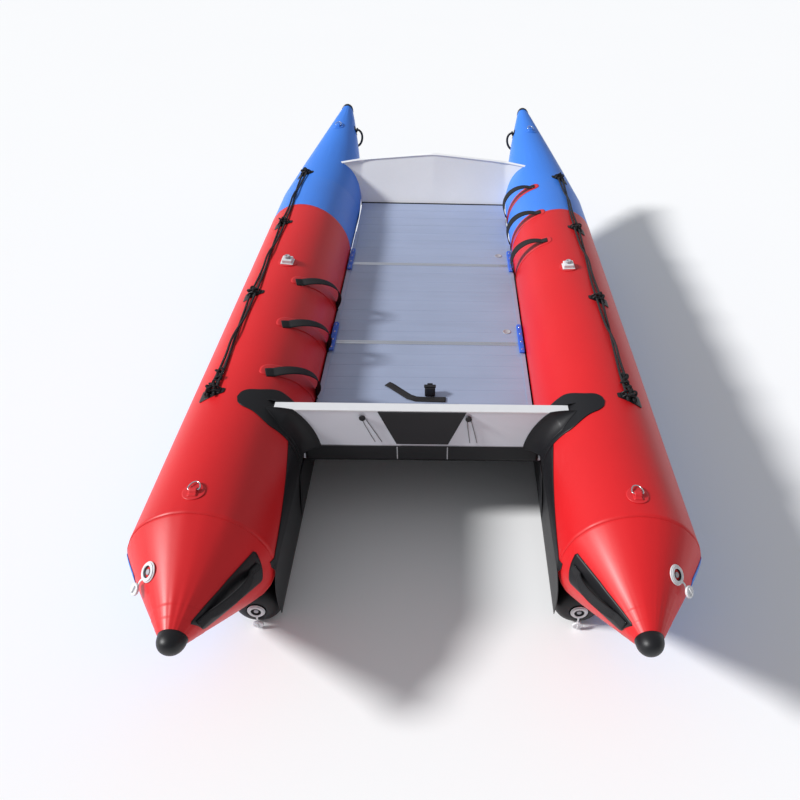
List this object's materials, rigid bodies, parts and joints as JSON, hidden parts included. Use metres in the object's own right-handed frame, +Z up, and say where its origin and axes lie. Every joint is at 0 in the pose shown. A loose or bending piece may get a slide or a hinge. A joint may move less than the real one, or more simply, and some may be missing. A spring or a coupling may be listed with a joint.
{
  "type": "inflatable dinghy",
  "caption": "Inflatable catamaran dinghy: two air-filled sponsons with upturned bows, aluminium floor, transom, life lines, straps and valves.",
  "frame": {"origin": "on the ground under the middle of the boat's plan", "axes": "+Y forward along the boat, +X to starboard, +Z up"},
  "size_m": [1.93, 4.3, 0.7895],
  "materials": {
    "red_fabric": "glossy coated fabric",
    "blue_fabric": "glossy coated fabric",
    "black_fabric": "coated fabric",
    "black_rubber": "matt moulded rubber",
    "grey_fabric": "coated fabric",
    "red_patch": "coated fabric",
    "black_webbing": "woven webbing",
    "black_rope": "braided rope",
    "black_plastic": "moulded",
    "floor_aluminium": "anodised",
    "blue_plastic": "moulded",
    "grey_plastic": "moulded",
    "white_painted_wood": "painted plywood",
    "white_fabric": "coated fabric",
    "white_plastic": "moulded",
    "steel": "polished stainless",
    "spring_steel": "drawn wire"
  },
  "bodies": {
    "root": {"bottom_skins": "blue_fabric", "bow_dodger": "white_fabric", "bow_handles": "black_rubber", "chamber_baffles": "grey_fabric", "d_ring_tabs": "red_patch", "drain_cord_hooks": "black_plastic", "drain_cords": "black_rope", "floor_clips": "blue_plastic", "floor_front_panel": "floor_aluminium", "floor_hole_plugs": "grey_plastic", "floor_joint_profiles": "floor_aluminium", "floor_middle_panel": "floor_aluminium", "floor_rear_panel": "floor_aluminium", "floor_stringers": "floor_aluminium", "foot_straps": "black_webbing", "fuel_tank_buckle": "black_plastic", "fuel_tank_strap": "black_webbing", "handle_patches": "black_rubber", "inner_motor_pad": "black_rubber", "inner_skins": "black_fabric", "life_line_patches": "black_rubber", "oarlock_blocks": "white_plastic", "oarlock_patches": "red_patch", "outer_motor_pad": "black_rubber", "port_bow_cone": "blue_fabric", "port_life_line": "black_rope", "port_main_tube": "red_fabric", "port_runner": "black_fabric", "port_runner_valve_spring": "spring_steel", "port_stern_cone": "red_fabric", "port_stern_valve_spring": "spring_steel", "starboard_bow_cone": "blue_fabric", "starboard_life_line": "black_rope", "starboard_main_tube": "red_fabric", "starboard_runner": "black_fabric", "starboard_runner_valve_spring": "spring_steel", "starboard_stern_cone": "red_fabric", "starboard_stern_valve_spring": "spring_steel", "stern_handles": "black_rubber", "strap_patches": "red_patch", "tip_caps": "black_rubber", "transom_board": "white_painted_wood", "transom_flap": "black_fabric", "transom_holders": "black_rubber", "tunnel_fabric": "black_fabric", "valve_bodies": "white_plastic"},
    "port_bow_d_ring": {"port_bow_d_ring": "steel"},
    "port_stern_d_ring": {"port_stern_d_ring": "steel"},
    "port_stern_valve_plunger": {"port_stern_valve_plunger": "white_plastic"},
    "port_stern_valve_cap": {"port_stern_valve_cap": "white_plastic"},
    "port_runner_valve_plunger": {"port_runner_valve_plunger": "white_plastic"},
    "port_runner_valve_cap": {"port_runner_valve_cap": "white_plastic"},
    "port_oarlock_knob": {"port_oarlock_knob": "grey_plastic"},
    "starboard_bow_d_ring": {"starboard_bow_d_ring": "steel"},
    "starboard_stern_d_ring": {"starboard_stern_d_ring": "steel"},
    "starboard_stern_valve_plunger": {"starboard_stern_valve_plunger": "white_plastic"},
    "starboard_stern_valve_cap": {"starboard_stern_valve_cap": "white_plastic"},
    "starboard_runner_valve_plunger": {"starboard_runner_valve_plunger": "white_plastic"},
    "starboard_runner_valve_cap": {"starboard_runner_valve_cap": "white_plastic"},
    "starboard_oarlock_knob": {"starboard_oarlock_knob": "grey_plastic"}
  },
  "joints": [
    {"name": "port_bow_d_ring_hinge", "type": "hinge", "parent": "root", "child": "port_bow_d_ring", "pos_m": [-0.66493, 1.82358, 0.74034], "axis": [0.9926, -0.1095, 0.0518], "range_deg": [0, 165]},
    {"name": "port_stern_d_ring_hinge", "type": "hinge", "parent": "root", "child": "port_stern_d_ring", "pos_m": [-0.72876, -1.658, 0.65085], "axis": [0.9994, 0, 0.0349], "range_deg": [0, 165]},
    {"name": "port_stern_valve_plunger_slide", "type": "slide", "parent": "root", "child": "port_stern_valve_plunger", "axis": [0.6051, 0.427, -0.672], "range_m": [0, 0.005], "stiffness_N_per_m": 600, "springref_m": -0.004, "deforming": ["port_stern_valve_spring"]},
    {"name": "port_stern_valve_cap_swivel", "type": "hinge", "parent": "root", "child": "port_stern_valve_cap", "pos_m": [-0.81469, -1.91, 0.54596], "axis": [-0.6051, -0.427, 0.672], "continuous": true},
    {"name": "port_runner_valve_plunger_slide", "type": "slide", "parent": "root", "child": "port_runner_valve_plunger", "axis": [0, 1, 0], "range_m": [0, 0.005], "stiffness_N_per_m": 600, "springref_m": -0.004, "deforming": ["port_runner_valve_spring"]},
    {"name": "port_runner_valve_cap_swivel", "type": "hinge", "parent": "root", "child": "port_runner_valve_cap", "pos_m": [-0.592, -1.71, 0.091], "axis": [0, -1, 0], "continuous": true},
    {"name": "port_oarlock_knob_turn", "type": "hinge", "parent": "root", "child": "port_oarlock_knob", "pos_m": [-0.70228, -0.035, 0.65338], "axis": [0.0698, 0, 0.9976], "continuous": true},
    {"name": "starboard_bow_d_ring_hinge", "type": "hinge", "parent": "root", "child": "starboard_bow_d_ring", "pos_m": [0.66493, 1.82358, 0.74034], "axis": [0.9926, 0.1095, -0.0518], "range_deg": [0, 165]},
    {"name": "starboard_stern_d_ring_hinge", "type": "hinge", "parent": "root", "child": "starboard_stern_d_ring", "pos_m": [0.72876, -1.658, 0.65085], "axis": [0.9994, 0, -0.0349], "range_deg": [0, 165]},
    {"name": "starboard_stern_valve_plunger_slide", "type": "slide", "parent": "root", "child": "starboard_stern_valve_plunger", "axis": [-0.6051, 0.427, -0.672], "range_m": [0, 0.005], "stiffness_N_per_m": 600, "springref_m": -0.004, "deforming": ["starboard_stern_valve_spring"]},
    {"name": "starboard_stern_valve_cap_swivel", "type": "hinge", "parent": "root", "child": "starboard_stern_valve_cap", "pos_m": [0.81469, -1.91, 0.54596], "axis": [0.6051, -0.427, 0.672], "continuous": true},
    {"name": "starboard_runner_valve_plunger_slide", "type": "slide", "parent": "root", "child": "starboard_runner_valve_plunger", "axis": [0, 1, 0], "range_m": [0, 0.005], "stiffness_N_per_m": 600, "springref_m": -0.004, "deforming": ["starboard_runner_valve_spring"]},
    {"name": "starboard_runner_valve_cap_swivel", "type": "hinge", "parent": "root", "child": "starboard_runner_valve_cap", "pos_m": [0.592, -1.71, 0.091], "axis": [0, -1, 0], "continuous": true},
    {"name": "starboard_oarlock_knob_turn", "type": "hinge", "parent": "root", "child": "starboard_oarlock_knob", "pos_m": [0.70228, -0.035, 0.65338], "axis": [-0.0698, 0, 0.9976], "continuous": true}
  ]
}
